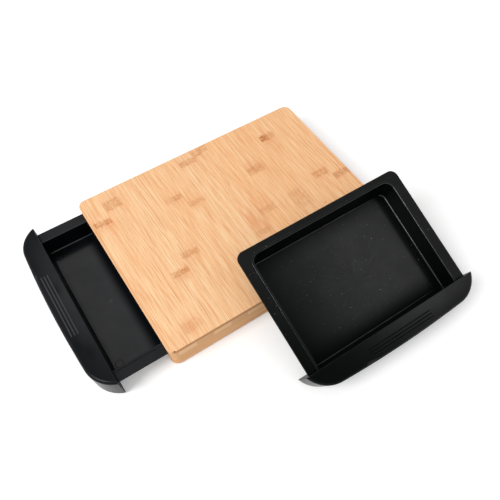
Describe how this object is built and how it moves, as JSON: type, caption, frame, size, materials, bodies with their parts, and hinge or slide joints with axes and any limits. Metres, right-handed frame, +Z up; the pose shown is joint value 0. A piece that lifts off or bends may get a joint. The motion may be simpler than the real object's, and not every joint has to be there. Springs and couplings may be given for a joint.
{
  "type": "cutting board with drawer trays",
  "caption": "Bamboo cutting board on rails with two removable black plastic trays, one drawn out of its bay at the left end and one leaning against the front edge.",
  "frame": {"origin": "middle of the underside of the front left foot, on the surface that the board stands on", "axes": "+X along the board's long side towards its right end, +Y away from the user, +Z up"},
  "size_m": [0.5063, 0.4336, 0.0901],
  "materials": {
    "bamboo_face": "oiled bamboo, satin",
    "bamboo_core": "bamboo end grain, satin",
    "bamboo_rail": "bamboo, satin",
    "dowel_wood": "plain beech",
    "black_plastic": "fine satin moulding texture",
    "rubber": "matte",
    "steel": "zinc-plated, dull"
  },
  "bodies": {
    "board": {"face_strip_01": "bamboo_face", "face_strip_02": "bamboo_face", "face_strip_03": "bamboo_face", "face_strip_04": "bamboo_face", "face_strip_05": "bamboo_face", "face_strip_06": "bamboo_face", "face_strip_07": "bamboo_face", "face_strip_08": "bamboo_face", "face_strip_09": "bamboo_face", "face_strip_10": "bamboo_face", "face_strip_11": "bamboo_face", "face_strip_12": "bamboo_face", "face_strip_13": "bamboo_face", "face_strip_14": "bamboo_face", "face_strip_15": "bamboo_face", "core_panel": "bamboo_core", "front_rail": "bamboo_rail", "back_rail": "bamboo_rail", "centre_divider": "bamboo_rail", "foot_front_left": "rubber", "foot_front_right": "rubber", "foot_back_left": "rubber", "foot_back_right": "rubber", "rail_screws": "steel", "divider_screws": "steel", "divider_dowels": "dowel_wood"},
    "left_tray": {"left_tray": "black_plastic"},
    "right_tray": {"right_tray": "black_plastic"}
  },
  "joints": [
    {"name": "left_tray_slide", "type": "slide", "parent": "board", "child": "left_tray", "axis": [-1, 0, 0], "range_m": [-0.0705, 0.11]},
    {"name": "right_tray_lift", "type": "slide", "parent": "board", "child": "right_tray", "axis": [0, 0, 1], "range_m": [0, 0.12]}
  ]
}
